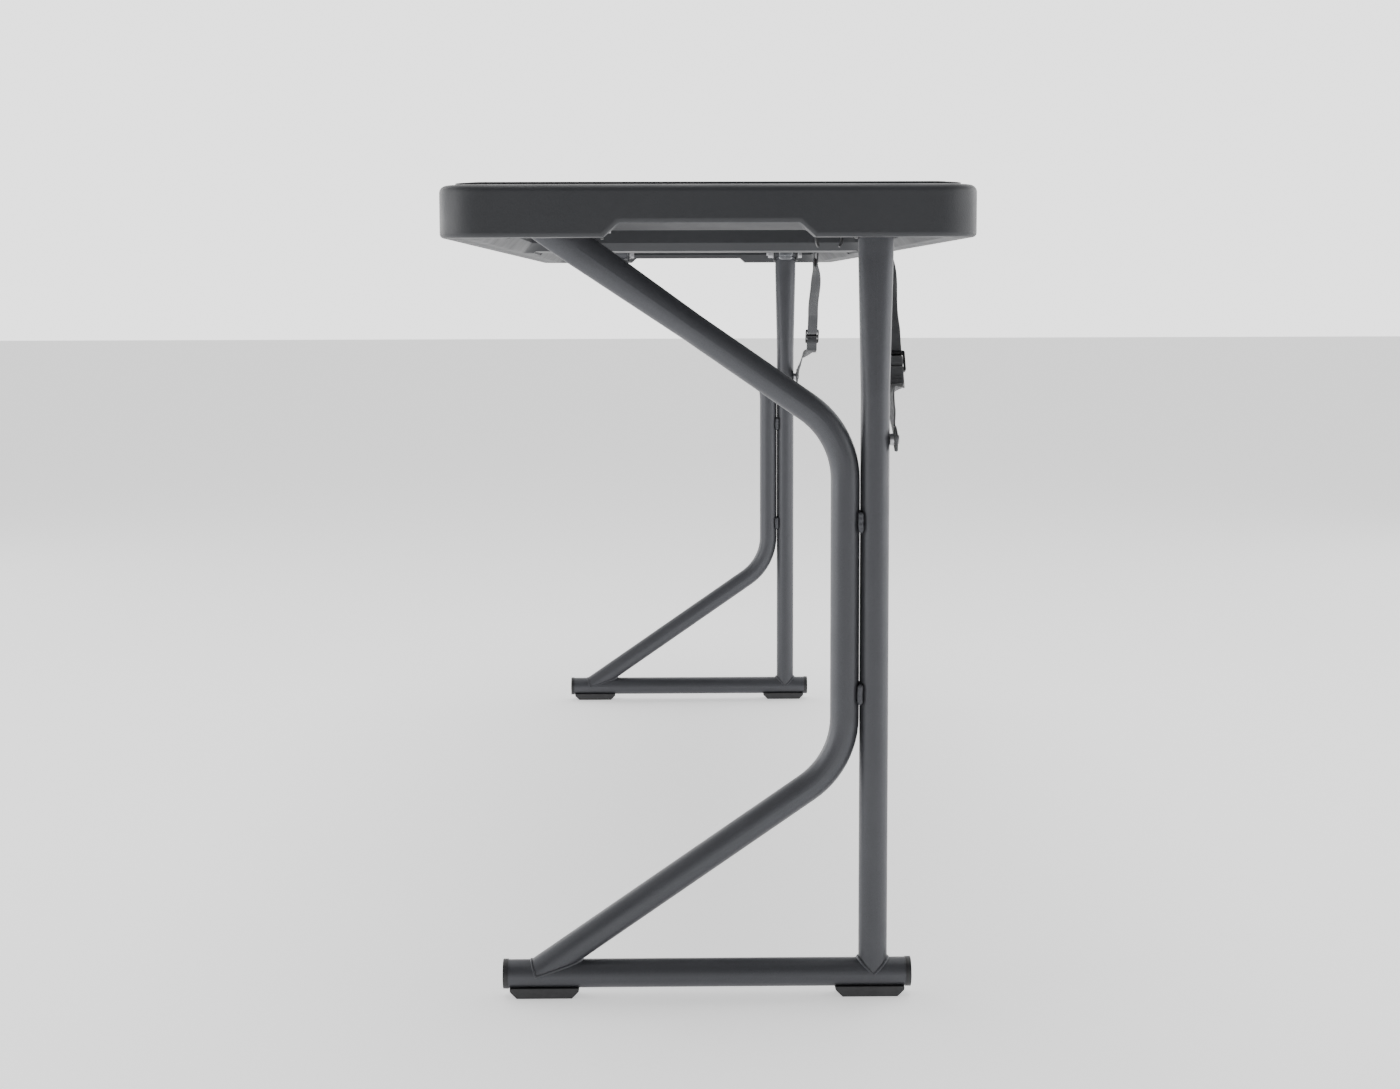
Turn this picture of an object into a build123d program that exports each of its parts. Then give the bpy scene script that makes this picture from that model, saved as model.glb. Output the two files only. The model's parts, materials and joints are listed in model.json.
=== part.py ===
"""A folding seminar table: a hollow moulded top on two inward-folding tube end legs.

Millimetres, +Z up. The origin is on the floor under the centre of the top, X runs along the
length of the table and -Y is the user's side. Side +1 is the leg at +X and side -1 the leg at -X,
which is its mirror image. The table stands with its legs open.
"""

from build123d import *
import os
from math import atan2, cos, degrees, radians, sin, sqrt, tan

# Overall sizes
table_length = 1829.0
table_depth = 466.0
table_height = 743.0

# Moulded top
skirt_height = 48.0  # from the lower edge of the skirt to the writing surface
wall = 3.0  # thickness of the blow-moulded skin
corner_radius = 41.0
top_edge_radius = 6.5
bottom_edge_radius = 4.0  # runs along the skirt and around the finger notches
ledge_inset = 14.0  # border strip that lies a little lower than the writing surface
ledge_drop = 2.8
lip_inset = 25.0
lip_drop = 0.8
step_radius = 0.5
recess_depth = 30.0  # from the lower edge of the skirt up to the underside panel
rim_width = 37.5  # long rims, left and right of the recess
end_rim_width = 37.0
recess_corner_radius = 26.0
mouth_slope_rise = 12.0  # the recess widens towards its mouth
mouth_slope_run = 11.0
block_half_width = 78.0  # cross block between the two leg recesses
block_relief = 2.5
notch_outer_half = (76.0, 91.0)  # half width at the roof and at the mouth
notch_outer_height = 13.6
notch_inner_half = (86.0, 91.0)
notch_inner_height = 4.9
notch_corner_radius = 4.5
overcut = 3.0  # how far a cut runs past the face it opens
dimple_pitch = 48.0
dimple_radius = 5.5
dimple_depth = 1.6
dimple_inset = 15.0  # from the outer face of the skirt

# Leg frames, round steel tube
tube_diameter = 26.5
tube_wall = 1.8
leg_inset = 110.0  # from the end of the top to the plane of the leg
pivot_drop = 16.5  # from the underside panel down to the hinge axis
post_y = 151.8
column_gap = 0.4  # between the post and the brace's column
brace_slope = 34.7  # degrees above and below the horizontal
upper_bend_drop = 187.8  # from the hinge axis down to where the upper slope meets the column
lower_bend_z = 218.5  # where the lower slope's centre line meets the column's
bend_radius = 80.0
flat_width = 32.0  # tube ends are pressed to an oval under their pivot sleeves
flat_thickness = 18.0
flare_length = 125.0
oval_length = 18.0
foot_front = 185.5  # foot tube ends, in front of and behind the leg's centre
foot_back = 182.0
weld_gap = 0.15
bead_diameter = 6.0  # short weld beads in the grooves between the post and the column
bead_length = 20.0
bead_heights = (440.5, 282.5)

# Feet
pad_height = 7.8
pad_saddle = 1.5  # the pad comes this far up around the tube
pad_width = 22.0
pad_length = 64.0
pad_bevel = 6.5
pad_end_gap = 1.2
pad_screw_diameter = 4.0
pad_screw_head = 8.0
pad_screw_recess = 1.5
cap_flange = 5.0
cap_rim = 0.6
cap_plug_length = 16.0
cap_clearance = 0.1

# Hinges
sleeve_diameter = 18.0
bolt_diameter = 8.0
running_clearance = 0.05
hole_clearance = 0.25
ear_gap = 0.5
ear_thickness = 2.5
ear_radius = 13.0
ear_root = 44.0  # ear width where it joins the base plate
post_sleeve_length = 32.0
brace_sleeve_length = 80.0
brace_sleeve_shift = 10.32  # from the brace's centre line to the sleeve's middle, towards the post
plate_length = 68.0
plate_margin = 4.0
bolt_head_height = 5.3
bolt_head_across = 13.0
nut_height = 6.5
washer_diameter = 16.0
washer_thickness = 1.5
bolt_tail = 2.5
screw_diameter = 4.8
screw_head = 9.0
screw_length = 13.0
screw_inset = 7.0

# Latch leaf: a spring-steel strut that stops the post from swinging in
leaf_width = 22.0
leaf_thickness = 1.5
leaf_root_length = 26.0
leaf_drop = 20.0
leaf_tip = 6.0
leaf_gap = 0.5
leaf_reach = 54.0
rivet_diameter = 4.0
rivet_head = 8.0
rivet_head_height = 1.1

# Leg clip under the top
clip_offset = 193.0  # from the middle of the table
clip_bore_clearance = 0.35
clip_wall = 2.4
clip_length = 20.0
clip_mouth = 23.0
clip_foot = 26.0

# Strap, from an anchor under the top through a slider to a rivet in the post
webbing_width = 15.0
webbing_thickness = 1.6
strap_span = 12.0  # across the table, where the upper strap is half twisted
strap_seat = 1.6  # between the end of a strap and the piece it is sewn to
strap_gap = 0.4
anchor_offset = 250.0  # inboard of the leg
anchor_y = 184.0
anchor_length = 46.0
anchor_width = 15.0
anchor_screw_offset = 17.0
anchor_bar = 3.6
anchor_drop = 17.0
slider_place = (156.0, 184.5, 581.0)  # middle of the slider: inboard of the leg, y, z
slider_width = 20.5
slider_length = 24.0
slider_thickness = 4.5
slider_bar = 3.6  # cross bars, at both ends and between the two slots
slider_side = 2.3
rivet_z = 515.0  # the rivet through the strap's end into the post
rivet_standoff = 3.9  # from the post to the doubled end
rivet_collar = 11.0
tab_slope = 22.8  # degrees below the horizontal
tab_inboard = 12.5  # the doubled end reaches this far before the rivet and this far past it
tab_outboard = 9.3

# Planes and lines that follow from the sizes above
skirt_z = table_height - skirt_height
ledge_z = table_height - ledge_drop
panel_z = skirt_z + recess_depth
recess_depth_y = table_depth - 2 * rim_width
recess_end_x = table_length / 2 - end_rim_width
leg_x = table_length / 2 - leg_inset
pivot_z = panel_z - pivot_drop
tube_radius = tube_diameter / 2
bore_radius = tube_radius - tube_wall
sleeve_radius = sleeve_diameter / 2
bolt_radius = bolt_diameter / 2
column_y = post_y - tube_diameter - column_gap
foot_z = pad_height + tube_radius
brace_foot_y = column_y - (lower_bend_z - foot_z) / tan(radians(brace_slope))
upper_bend_z = pivot_z - upper_bend_drop
brace_top_y = column_y - upper_bend_drop / tan(radians(brace_slope))
brace_sleeve_y = brace_top_y + brace_sleeve_shift
plate_z = panel_z - ear_thickness
hinges = {
    "post": (post_y, post_sleeve_length),
    "brace": (brace_sleeve_y, brace_sleeve_length),
}
sides = {"right": 1, "left": -1}

TOLERANCE = 0.01  # for picking edges by their place

os.makedirs("parts", exist_ok=True)


def save(piece, name):
    """Labels a finished piece and writes it as the node of that name."""
    piece.label = name
    export_step(piece, f"parts/{name}.step")


def rod(start, end, radius):
    """A plain cylinder from one point to another."""
    run = Vector(*end) - Vector(*start)
    with BuildPart() as cylinder:
        with BuildSketch(Plane(origin=start, z_dir=run)):
            Circle(radius)
        extrude(amount=run.length)
    return cylinder.part


# ---------------------------------------------------------------- moulded top


def recess(side, skin):
    """The space that a folded leg lies in, grown by the skin on every side."""
    length = recess_end_x - block_half_width
    centre = side * (recess_end_x + block_half_width) / 2
    with BuildPart() as space:
        with BuildSketch(Plane.XY.offset(skirt_z)):
            with Locations((centre, 0)):
                RectangleRounded(
                    length + 2 * skin, recess_depth_y + 2 * skin, recess_corner_radius + skin
                )
        extrude(amount=recess_depth + skin)
        mouth_growth = mouth_slope_run + skin
        with BuildSketch(Plane.XY.offset(skirt_z)):
            with Locations((centre, 0)):
                RectangleRounded(
                    length + 2 * mouth_growth,
                    recess_depth_y + 2 * mouth_growth,
                    recess_corner_radius + mouth_growth,
                )
        extrude(amount=mouth_slope_rise, taper=degrees(atan2(mouth_slope_run, mouth_slope_rise)))
    return space.part


def finger_notch(side, skin):
    """The handle in the end skirt, whose roof slopes down from the outer face to the inner lip."""
    with BuildPart() as notch:
        ends = (
            (table_length / 2 + overcut, notch_outer_half, notch_outer_height),
            (recess_end_x - overcut, notch_inner_half, notch_inner_height),
        )
        for distance, (roof, mouth), rise in ends:
            with BuildSketch(Plane.YZ.offset(side * distance)) as profile:
                with BuildLine():
                    Polyline(
                        (-mouth - skin, skirt_z - overcut),
                        (-mouth - skin, skirt_z),
                        (-roof - skin, skirt_z + rise + skin),
                        (roof + skin, skirt_z + rise + skin),
                        (mouth + skin, skirt_z),
                        (mouth + skin, skirt_z - overcut),
                        close=True,
                    )
                make_face()
                fillet(profile.vertices().group_by(Axis.Y)[-1], radius=notch_corner_radius)
        loft(ruled=True)
    return notch.part


def top_cavity():
    """The closed air space inside the twin-walled top."""
    with BuildPart() as cavity:
        with BuildSketch(Plane.XY.offset(skirt_z + wall)):
            RectangleRounded(table_length - 2 * wall, table_depth - 2 * wall, corner_radius - wall)
        extrude(amount=ledge_z - skirt_z - 2 * wall)
        fillet(cavity.faces().sort_by(Axis.Z)[-1].edges(), radius=top_edge_radius - wall)
        plateau_inset = ledge_inset + wall
        with BuildSketch(Plane.XY.offset(ledge_z - wall)):
            RectangleRounded(
                table_length - 2 * plateau_inset,
                table_depth - 2 * plateau_inset,
                corner_radius - ledge_inset - wall,
            )
        extrude(amount=ledge_drop - lip_drop)
        for side in sides.values():
            add(recess(side, wall), mode=Mode.SUBTRACT)
            add(finger_notch(side, wall), mode=Mode.SUBTRACT)
        with BuildSketch(Plane.XY.offset(skirt_z)):
            Rectangle(2 * block_half_width, recess_depth_y + 2 * wall)
        extrude(amount=block_relief + wall, mode=Mode.SUBTRACT)
    return cavity.part


def dimple():
    """A shallow round dish in the lower face of a long rim."""
    dish_radius = (dimple_radius**2 + dimple_depth**2) / (2 * dimple_depth)
    with BuildPart() as dish:
        Sphere(dish_radius)
    return dish.part.moved(Location((0, 0, dimple_depth - dish_radius)))


def screw_spots():
    """Centre of each wood-type screw that goes up into the underside panel."""
    spots = []
    for side in sides.values():
        for centre_y, sleeve_length in hinges.values():
            half_x = plate_length / 2 - screw_inset
            half_y = sleeve_length / 2 - plate_margin
            for dx in (-half_x, half_x):
                for dy in (-half_y, half_y):
                    spots.append((side * leg_x + dx, centre_y + dy))
    return spots


def clip_screw_spots():
    """Centre of the one screw in each leg clip."""
    return [(side * clip_offset, post_y) for side in sides.values()]


def anchor_screw_spots():
    """Centres of the screws beside each strap anchor's bar."""
    spots = []
    for side in sides.values():
        for dx in (-anchor_screw_offset, anchor_screw_offset):
            spots.append((side * (leg_x - anchor_offset) + dx, anchor_y))
    return spots


def rivet_spots():
    """Centres of the two rivets in each latch leaf."""
    spots = []
    for side in sides.values():
        root_x = side * (leg_x - leaf_reach - leaf_root_length / 2)
        for dy in (-leaf_width / 4, leaf_width / 4):
            spots.append((root_x, post_y + dy))
    return spots


def lower_outline(slab):
    """Edges of the skirt's outer face along its lower rim and around the finger notches."""
    highest = skirt_z + notch_outer_height + overcut
    half_length, half_depth = table_length / 2, table_depth / 2
    edges = []
    for edge in slab.edges():
        low, high = edge.bounding_box().min, edge.bounding_box().max
        on_end = min(abs(low.X), abs(high.X)) > half_length - TOLERANCE and low.X * high.X > 0
        on_side = min(abs(low.Y), abs(high.Y)) > half_depth - TOLERANCE and low.Y * high.Y > 0
        middle = edge @ 0.5
        outside = abs(middle.X) > half_length - corner_radius and abs(middle.Y) > half_depth - corner_radius
        at_rim = high.Z < skirt_z + TOLERANCE
        if (on_end and high.Z < highest) or (at_rim and (on_side or outside)):
            edges.append(edge)
    return edges


def make_top():
    """The one-piece moulded top with its ledge, recesses, finger notches and screw holes."""
    with BuildPart() as tabletop:
        with BuildSketch(Plane.XY.offset(skirt_z)):
            RectangleRounded(table_length, table_depth, corner_radius)
        extrude(amount=ledge_z - skirt_z)
        fillet(tabletop.faces().sort_by(Axis.Z)[-1].edges(), radius=top_edge_radius)
        for side in sides.values():
            add(recess(side, 0), mode=Mode.SUBTRACT)
            add(finger_notch(side, 0), mode=Mode.SUBTRACT)
        fillet(lower_outline(tabletop), radius=bottom_edge_radius)
        steps = (
            (ledge_z, ledge_inset, ledge_drop - lip_drop),
            (table_height - lip_drop, lip_inset, lip_drop),
        )
        for level, inset, rise in steps:
            with BuildSketch(Plane.XY.offset(level)):
                RectangleRounded(
                    table_length - 2 * inset, table_depth - 2 * inset, corner_radius - inset
                )
            extrude(amount=rise)
            fillet(tabletop.faces().sort_by(Axis.Z)[-1].edges(), radius=step_radius)
        with BuildSketch(Plane.XY.offset(skirt_z)):
            Rectangle(2 * block_half_width, recess_depth_y)
        extrude(amount=block_relief, mode=Mode.SUBTRACT)
        add(top_cavity(), mode=Mode.SUBTRACT)
        dimple_count = int((table_length - 2 * corner_radius) / dimple_pitch)
        dish = dimple()
        for row_y in (dimple_inset - table_depth / 2, table_depth / 2 - dimple_inset):
            for index in range(dimple_count + 1):
                place = (index - dimple_count / 2) * dimple_pitch
                add(dish.moved(Location((place, row_y, skirt_z))), mode=Mode.SUBTRACT)
        with BuildSketch(Plane.XY.offset(panel_z - overcut)):
            with Locations(*screw_spots(), *clip_screw_spots(), *anchor_screw_spots()):
                Circle(screw_diameter / 2 + running_clearance)
            with Locations(*rivet_spots()):
                Circle(rivet_diameter / 2 + running_clearance)
        extrude(amount=wall + 2 * overcut, mode=Mode.SUBTRACT)
    save(tabletop.part, "tabletop")


# ---------------------------------------------------------------- leg frames


def foot_space():
    """Cylinders a weld gap larger than the foot tubes, which the uprights are coped to."""
    reach = foot_front + foot_back
    return {
        side: rod((side * leg_x, -reach, foot_z), (side * leg_x, reach, foot_z), tube_radius + weld_gap)
        for side in sides.values()
    }


def sleeve_space(side, centre_y, length):
    """Everything from the middle of a pivot sleeve upwards, and the sleeve itself."""
    margin = 2 * tube_diameter
    with BuildPart() as space:
        with BuildSketch(Plane.XY.offset(pivot_z)):
            with Locations((side * leg_x, centre_y)):
                Rectangle(2 * margin, length + 2 * margin)
        extrude(amount=margin)
        half = Vector(0, length / 2 + margin, 0)
        middle = Vector(side * leg_x, centre_y, pivot_z)
        add(rod(middle - half, middle + half, sleeve_radius + weld_gap))
    return space.part


def tube_end(plane, radius, half_thickness, half_width):
    """The last stretch of a tube, pressed from round to oval, drawn upwards from a plane."""
    with BuildPart() as end:
        with BuildSketch(plane):
            Circle(radius)
        with BuildSketch(plane.offset(flare_length)):
            Ellipse(half_thickness, half_width)
        loft()
        with BuildSketch(plane.offset(flare_length)):
            Ellipse(half_thickness, half_width)
        extrude(amount=oval_length + tube_diameter)
    return end.part


def make_post(name, side):
    """The straight upright at the back of a leg."""
    flare_z = pivot_z - sleeve_radius - oval_length - flare_length
    flare_plane = Plane((side * leg_x, post_y, flare_z))
    with BuildPart() as post:
        with BuildSketch(Plane.XY.offset(foot_z)):
            with Locations((side * leg_x, post_y)):
                Circle(tube_radius)
        extrude(amount=flare_z - foot_z)
        add(tube_end(flare_plane, tube_radius, flat_thickness / 2, flat_width / 2))
        with BuildSketch(Plane.XY.offset(foot_z)):
            with Locations((side * leg_x, post_y)):
                Circle(bore_radius)
        extrude(amount=flare_z - foot_z, mode=Mode.SUBTRACT)
        bore_end = tube_end(
            flare_plane,
            bore_radius,
            flat_thickness / 2 - tube_wall,
            flat_width / 2 - tube_wall,
        )
        add(bore_end, mode=Mode.SUBTRACT)
        add(foot_space()[side], mode=Mode.SUBTRACT)
        add(sleeve_space(side, post_y, post_sleeve_length), mode=Mode.SUBTRACT)
        rivet_start = (side * leg_x, post_y, rivet_z)
        rivet_end = (side * leg_x, post_y + tube_diameter, rivet_z)
        hole_radius = rivet_diameter / 2 + running_clearance
        add(rod(rivet_start, rivet_end, hole_radius), mode=Mode.SUBTRACT)
    save(post.part, f"{name}_post_tube")


def brace_run(side, radius, half_thickness, half_width):
    """A bar along the brace's centre line: up a slope, up the column and up the other slope."""
    slope = Vector(0, -cos(radians(brace_slope)), sin(radians(brace_slope)))
    top = Vector(side * leg_x, brace_top_y, pivot_z)
    flare_start = top - slope * (flare_length + oval_length + sleeve_diameter)
    with BuildPart() as run:
        with BuildLine() as path:
            FilletPolyline(
                (side * leg_x, brace_foot_y, foot_z),
                (side * leg_x, column_y, lower_bend_z),
                (side * leg_x, column_y, upper_bend_z),
                flare_start,
                radius=bend_radius,
            )
        with BuildSketch(Plane(origin=path.line @ 0, x_dir=(1, 0, 0), z_dir=path.line % 0)):
            Circle(radius)
        sweep(path=path.line)
        end_plane = Plane(origin=flare_start, x_dir=(1, 0, 0), z_dir=slope)
        add(tube_end(end_plane, radius, half_thickness, half_width))
    return run.part


def make_brace(name, side):
    """The bent tube that runs from the front hinge, beside the post and down to the foot."""
    outer = brace_run(side, tube_radius, flat_thickness / 2, flat_width / 2)
    inner = brace_run(
        side, bore_radius, flat_thickness / 2 - tube_wall, flat_width / 2 - tube_wall
    )
    with BuildPart() as brace:
        add(outer)
        add(inner, mode=Mode.SUBTRACT)
        add(foot_space()[side], mode=Mode.SUBTRACT)
        add(sleeve_space(side, brace_sleeve_y, brace_sleeve_length), mode=Mode.SUBTRACT)
    save(brace.part, f"{name}_brace_tube")


def pad_middles():
    """Y of the middle of each foot pad, front then back."""
    return (
        -foot_front + pad_end_gap + pad_length / 2,
        foot_back - pad_end_gap - pad_length / 2,
    )


def make_foot(name, side):
    """The round foot tube with a pilot hole over each pad."""
    with BuildPart() as foot:
        with BuildSketch(Plane.XZ.offset(foot_front)):
            with Locations((side * leg_x, foot_z)):
                Circle(tube_radius)
                Circle(bore_radius, mode=Mode.SUBTRACT)
        extrude(amount=-(foot_front + foot_back))
        with BuildSketch(Plane.XY.offset(pad_height)):
            with Locations(*[(side * leg_x, middle) for middle in pad_middles()]):
                Circle(pad_screw_diameter / 2 + running_clearance)
        extrude(amount=tube_radius, mode=Mode.SUBTRACT)
    save(foot.part, f"{name}_foot_tube")


def make_sleeve(name, side, hinge):
    """The short pivot sleeve on top of a tube, which turns on its bolt."""
    centre_y, length = hinges[hinge]
    with BuildPart() as sleeve:
        with BuildSketch(Plane.XZ.offset(length / 2 - centre_y)):
            with Locations((side * leg_x, pivot_z)):
                Circle(sleeve_radius)
                Circle(bolt_radius + running_clearance, mode=Mode.SUBTRACT)
        extrude(amount=-length)
    save(sleeve.part, f"{name}_{hinge}_pivot_sleeve")


def make_column_welds(name, side):
    """Short weld beads in the grooves between the brace's column and the post."""
    reach = tube_radius + bead_diameter / 2 + weld_gap
    half_spacing = (post_y - column_y) / 2
    bead_dx = sqrt(reach**2 - half_spacing**2)
    with BuildPart() as beads:
        for height in bead_heights:
            with BuildSketch(Plane.XY.offset(height - bead_length / 2)):
                with Locations(
                    (side * leg_x - bead_dx, column_y + half_spacing),
                    (side * leg_x + bead_dx, column_y + half_spacing),
                ):
                    Circle(bead_diameter / 2)
            extrude(amount=bead_length)
    save(beads.part, f"{name}_column_welds")


def make_caps(name, side):
    """The plastic plugs that close both ends of the foot tube."""
    with BuildPart() as caps:
        for end_y, outward in ((-foot_front, -1), (foot_back, 1)):
            flange_plane = Plane((side * leg_x, end_y, foot_z), z_dir=(0, outward, 0))
            with BuildSketch(flange_plane):
                Circle(tube_radius + cap_rim)
            extrude(amount=cap_flange)
            fillet(
                caps.faces().sort_by(Axis.Y)[-1 if outward > 0 else 0].edges(),
                radius=cap_rim,
            )
            with BuildSketch(flange_plane):
                Circle(bore_radius - cap_clearance)
            extrude(amount=-cap_plug_length)
    save(caps.part, f"{name}_foot_caps")


def make_pads(name, side):
    """The bevelled rubber pads that the table stands on."""
    with BuildPart() as pads:
        for middle in pad_middles():
            with BuildSketch(Plane.YZ.offset(side * leg_x - pad_width / 2)):
                with BuildLine():
                    Polyline(
                        (middle - pad_length / 2 + pad_bevel, 0),
                        (middle + pad_length / 2 - pad_bevel, 0),
                        (middle + pad_length / 2, pad_bevel),
                        (middle + pad_length / 2, pad_height + pad_saddle),
                        (middle - pad_length / 2, pad_height + pad_saddle),
                        (middle - pad_length / 2, pad_bevel),
                        close=True,
                    )
                make_face()
            extrude(amount=pad_width)
        fillet(pads.edges().filter_by(Axis.Z), radius=pad_saddle)
        start = (side * leg_x, -foot_front, foot_z)
        end = (side * leg_x, foot_back, foot_z)
        add(rod(start, end, tube_radius), mode=Mode.SUBTRACT)
        with Locations(*[(side * leg_x, middle, 0) for middle in pad_middles()]):
            Cylinder(
                pad_screw_diameter / 2 + running_clearance,
                2 * (pad_height + pad_saddle + overcut),
                mode=Mode.SUBTRACT,
            )
        with Locations(*[(side * leg_x, middle, 0) for middle in pad_middles()]):
            Cylinder(
                pad_screw_head / 2 + running_clearance,
                2 * (pad_screw_recess + pad_screw_diameter / 2),
                mode=Mode.SUBTRACT,
            )
    save(pads.part, f"{name}_foot_pads")


def make_pad_screws(name, side):
    """The screws that hold the pads, with their heads sunk in the pads."""
    head_top = pad_screw_recess + pad_screw_diameter / 2
    with BuildPart() as screws:
        for middle in pad_middles():
            with BuildSketch(Plane.XY.offset(pad_screw_recess)):
                with Locations((side * leg_x, middle)):
                    Circle(pad_screw_head / 2)
            extrude(amount=pad_screw_diameter / 2)
            with BuildSketch(Plane.XY.offset(head_top)):
                with Locations((side * leg_x, middle)):
                    Circle(pad_screw_diameter / 2)
            extrude(amount=pad_height + tube_wall)
    save(screws.part, f"{name}_pad_screws")


# ---------------------------------------------------------------- hinge hardware


def make_bracket(name, side, hinge):
    """A base plate with two ears that carry the pivot bolt."""
    centre_y, sleeve_length = hinges[hinge]
    ear_y = sleeve_length / 2 + ear_gap
    plate_width = 2 * (ear_y + ear_thickness)
    with BuildPart() as bracket:
        with BuildSketch(Plane.XY.offset(plate_z)):
            with Locations((side * leg_x, centre_y)):
                RectangleRounded(plate_length, plate_width, plate_margin)
        extrude(amount=ear_thickness)
        for inner_y in (centre_y + ear_y, centre_y - ear_y - ear_thickness):
            with BuildSketch(Plane.XZ.offset(-inner_y)):
                with Locations((side * leg_x, pivot_z)):
                    Circle(ear_radius)
                with BuildLine():
                    Polyline(
                        (side * leg_x - ear_root / 2, plate_z),
                        (side * leg_x - ear_radius, pivot_z),
                        (side * leg_x + ear_radius, pivot_z),
                        (side * leg_x + ear_root / 2, plate_z),
                        close=True,
                    )
                make_face()
                with Locations((side * leg_x, pivot_z)):
                    Circle(bolt_radius + hole_clearance, mode=Mode.SUBTRACT)
            extrude(amount=-ear_thickness)
        half_x = plate_length / 2 - screw_inset
        half_y = sleeve_length / 2 - plate_margin
        with Locations((side * leg_x, centre_y, plate_z)):
            with GridLocations(2 * half_x, 2 * half_y, 2, 2):
                Cone(
                    screw_head / 2 + running_clearance,
                    screw_diameter / 2 + running_clearance,
                    ear_thickness,
                    align=(Align.CENTER, Align.CENTER, Align.MIN),
                    mode=Mode.SUBTRACT,
                )
    save(bracket.part, f"{name}_{hinge}_bracket")


def make_bracket_screws():
    """Countersunk screws, flush with the hinge plates, up into the underside panel."""
    with BuildPart() as screws:
        with Locations(*[(x, y, plate_z) for x, y in screw_spots()]):
            Cone(
                screw_head / 2,
                screw_diameter / 2,
                ear_thickness,
                align=(Align.CENTER, Align.CENTER, Align.MIN),
            )
        with Locations(*[(x, y, panel_z) for x, y in screw_spots()]):
            Cylinder(
                screw_diameter / 2,
                screw_length - ear_thickness,
                align=(Align.CENTER, Align.CENTER, Align.MIN),
            )
    save(screws.part, "bracket_screws")


def make_pivot_bolts(hinge):
    """The hexagon bolts that the sleeves turn on, heads at the back."""
    centre_y, sleeve_length = hinges[hinge]
    ear_outer = sleeve_length / 2 + ear_gap + ear_thickness
    shank = 2 * (ear_outer + washer_thickness) + nut_height + bolt_tail
    head_y = centre_y + ear_outer + washer_thickness
    with BuildPart() as bolts:
        for side in sides.values():
            with BuildSketch(Plane((side * leg_x, head_y, pivot_z), z_dir=(0, 1, 0))):
                RegularPolygon(bolt_head_across / 2, 6, major_radius=False)
            extrude(amount=bolt_head_height)
            with BuildSketch(Plane((side * leg_x, head_y, pivot_z), z_dir=(0, -1, 0))):
                Circle(bolt_radius)
            extrude(amount=shank)
    save(bolts.part, f"{hinge}_pivot_bolts")


def make_nuts_and_washers():
    """A washer under each bolt head and nut, and the nut."""
    with BuildPart() as nuts:
        for side in sides.values():
            for centre_y, sleeve_length in hinges.values():
                ear_outer = sleeve_length / 2 + ear_gap + ear_thickness
                nut_y = centre_y - ear_outer - washer_thickness
                with BuildSketch(Plane((side * leg_x, nut_y, pivot_z), z_dir=(0, -1, 0))):
                    RegularPolygon(bolt_head_across / 2, 6, major_radius=False)
                    Circle(bolt_radius + running_clearance, mode=Mode.SUBTRACT)
                extrude(amount=nut_height)
    save(nuts.part, "pivot_nuts")
    with BuildPart() as washers:
        for side in sides.values():
            for centre_y, sleeve_length in hinges.values():
                ear_outer = sleeve_length / 2 + ear_gap + ear_thickness
                for face_y, outward in ((centre_y + ear_outer, 1), (centre_y - ear_outer, -1)):
                    plane = Plane((side * leg_x, face_y, pivot_z), z_dir=(0, outward, 0))
                    with BuildSketch(plane):
                        Circle(washer_diameter / 2)
                        Circle(bolt_radius + hole_clearance, mode=Mode.SUBTRACT)
                    extrude(amount=washer_thickness)
    save(washers.part, "pivot_washers")


def make_latch_leaf(name, side):
    """The sprung leaf that is riveted to the panel and stands against the open post."""
    root_x = leg_x - leaf_reach
    tip_x = leg_x - flat_thickness / 2 - leaf_gap - leaf_thickness / 2
    middle_z = panel_z - leaf_thickness / 2
    with BuildPart() as leaf:
        with BuildSketch(Plane.XZ.offset(-post_y)):
            with BuildLine() as bend_line:
                Polyline(
                    (side * (root_x - leaf_root_length), middle_z),
                    (side * root_x, middle_z),
                    (side * tip_x, middle_z - leaf_drop),
                    (side * tip_x, middle_z - leaf_drop - leaf_tip),
                )
            trace(bend_line.line, line_width=leaf_thickness)
        extrude(amount=leaf_width / 2, both=True)
        spots = [spot for spot in rivet_spots() if spot[0] * side > 0]
        with Locations(*[(x, y, panel_z) for x, y in spots]):
            Cylinder(
                rivet_diameter / 2 + running_clearance,
                2 * (leaf_thickness + overcut),
                mode=Mode.SUBTRACT,
            )
    save(leaf.part, f"{name}_latch_leaf")


def make_latch_rivets():
    """Low-headed rivets that fix the latch leaves."""
    with BuildPart() as rivets:
        head_z = panel_z - leaf_thickness
        with Locations(*[(x, y, head_z) for x, y in rivet_spots()]):
            Cylinder(
                rivet_head / 2, rivet_head_height, align=(Align.CENTER, Align.CENTER, Align.MAX)
            )
            Cylinder(
                rivet_diameter / 2,
                leaf_thickness + 2 * wall,
                align=(Align.CENTER, Align.CENTER, Align.MIN),
            )
    save(rivets.part, "latch_rivets")


def make_leg_clip(name, side):
    """The C-shaped clip that holds the folded post."""
    bore = tube_radius + clip_bore_clearance
    with BuildPart() as clip:
        with BuildSketch(Plane.YZ.offset(side * clip_offset - clip_length / 2)):
            with Locations((post_y, pivot_z)):
                Circle(bore + clip_wall)
            with Locations((post_y, (pivot_z + bore + panel_z) / 2)):
                Rectangle(clip_foot, panel_z - pivot_z - bore)
            with Locations((post_y, pivot_z)):
                Circle(bore, mode=Mode.SUBTRACT)
            with Locations((post_y, pivot_z - bore)):
                Rectangle(clip_mouth, bore, mode=Mode.SUBTRACT)
        extrude(amount=clip_length)
        with Locations((side * clip_offset, post_y, panel_z)):
            Cylinder(
                screw_diameter / 2 + running_clearance,
                2 * (clip_wall + overcut),
                mode=Mode.SUBTRACT,
            )
    save(clip.part, f"{name}_leg_clip")


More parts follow.
